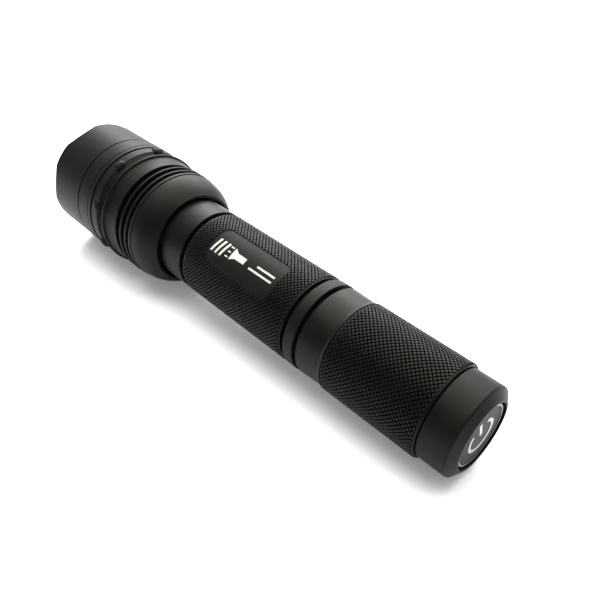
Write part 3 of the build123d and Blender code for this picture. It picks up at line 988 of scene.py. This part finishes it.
# The camera's place, the angles of its line of sight in degrees, and its lens. Heading is measured
# from +X round +Z, tilt from the level, and roll about the line of sight.
CAMERA_PLACE = (-32.1, 93.0, 110.6)
CAMERA_HEADING = -46.154
CAMERA_TILT = -39.676
CAMERA_ROLL = 2.561
CAMERA_LENS = 38.28
CAMERA_SENSOR = 36


def build_floor(material):
    """A floor that touches the studs at the head and the knurled grip near the tail."""
    head_low, head_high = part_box("selector_studs")
    tail_low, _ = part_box("rear_tube")
    front = Vector(((head_low.x + head_high.x) / 2, 0, head_low.z))
    back = Vector((tail_low.x, 0, tail_low.z))
    along = (front - back).normalized() * FLOOR_HALF_SIZE
    across = Vector((0, FLOOR_HALF_SIZE, 0))
    centre = back - along.cross(across).normalized() * FLOOR_DROP
    bm = bmesh.new()
    corners = [(-1, -1), (1, -1), (1, 1), (-1, 1)]
    bm.faces.new([bm.verts.new(centre + along * a + across * b) for a, b in corners])
    mesh = bpy.data.meshes.new("floor")
    bm.to_mesh(mesh)
    bm.free()
    floor = bpy.data.objects.new("floor", mesh)
    bpy.context.scene.collection.objects.link(floor)
    floor.data.materials.append(material)


def floor_material():
    """Plain white card with a slight glow, so that the shadows stay light."""
    material, _, _, shader = new_material("floor_white")
    shader.inputs["Roughness"].default_value = 0.9
    shader.inputs["Specular IOR Level"].default_value = 0.1
    shader.inputs["Base Color"].default_value = FLOOR_WHITE
    shader.inputs["Emission Color"].default_value = FLOOR_GLOW
    shader.inputs["Emission Strength"].default_value = 0.18
    return material


def area_light(name, place, target, size, power):
    """A soft box at a place, aimed at a target. Places and sizes are in metres, power in watts."""
    light = bpy.data.lights.new(name, "AREA")
    light.shape = "RECTANGLE"
    light.size, light.size_y = size
    light.energy = power
    lamp = bpy.data.objects.new(name, light)
    lamp.location = place
    lamp.rotation_euler = (Vector(target) - Vector(place)).to_track_quat("-Z", "Y").to_euler()
    bpy.context.scene.collection.objects.link(lamp)


def build_world():
    """A studio that is bright overhead and on one side, with a plain pale backdrop."""
    world = bpy.data.worlds.new("studio")
    world.use_nodes = True
    nodes, links = world.node_tree.nodes, world.node_tree.links
    background = nodes["Background"]
    background.inputs["Color"].default_value = SKY_COLOUR
    coords = nodes.new("ShaderNodeTexCoord")
    facing = nodes.new("ShaderNodeVectorMath")
    facing.operation = "DOT_PRODUCT"
    facing.inputs[1].default_value = Vector(SKY_TOWARDS).normalized()
    level = nodes.new("ShaderNodeMapRange")
    level.inputs["From Min"].default_value, level.inputs["From Max"].default_value = SKY_RANGE
    level.inputs["To Min"].default_value, level.inputs["To Max"].default_value = SKY_LEVELS
    links.new(coords.outputs["Generated"], facing.inputs[0])
    links.new(facing.outputs["Value"], level.inputs["Value"])
    links.new(level.outputs["Result"], background.inputs["Strength"])
    backdrop = nodes.new("ShaderNodeBackground")
    backdrop.inputs["Color"].default_value = BACKDROP_COLOUR
    seen = nodes.new("ShaderNodeLightPath")
    mix = nodes.new("ShaderNodeMixShader")
    links.new(seen.outputs["Is Camera Ray"], mix.inputs["Fac"])
    links.new(background.outputs["Background"], mix.inputs[1])
    links.new(backdrop.outputs["Background"], mix.inputs[2])
    links.new(mix.outputs["Shader"], nodes["World Output"].inputs["Surface"])
    bpy.context.scene.world = world


def build_light():
    centre = (0.075, 0, 0)
    area_light("overhead", (0.16, -0.12, 0.55), centre, (0.75, 0.6), 8.0)
    area_light("far_side", (0.42, -0.42, 0.30), centre, (0.6, 0.35), 8.0)
    build_world()


def camera_axes():
    """The camera's right, up and back directions."""
    heading, tilt, roll = (math.radians(a) for a in (CAMERA_HEADING, CAMERA_TILT, CAMERA_ROLL))
    level = math.cos(tilt)
    sight = Vector((level * math.cos(heading), level * math.sin(heading), math.sin(tilt)))
    side = sight.cross(Vector((0, 0, 1))).normalized()
    right = side * math.cos(roll) + side.cross(sight) * math.sin(roll)
    return right, right.cross(sight), -sight


def build_camera():
    camera = bpy.data.cameras.new("camera")
    camera.lens = CAMERA_LENS
    camera.sensor_width = CAMERA_SENSOR
    camera.clip_start = 0.005
    eye = bpy.data.objects.new("camera", camera)
    rotation = Matrix(camera_axes()).transposed().to_4x4()
    eye.matrix_world = Matrix.Translation(Vector(CAMERA_PLACE) * MM) @ rotation
    bpy.context.scene.collection.objects.link(eye)
    bpy.context.scene.camera = eye


build_camera()
build_tail()
build_button_mark()
build_rear_tube()
build_joint()
build_front_tube()
build_print()
build_head()
build_selector()
build_front_ring()
build_bezel()
build_optics()
dress_kept_nodes()
build_floor(floor_material())
build_light()
bpy.context.scene.view_settings.view_transform = "Standard"
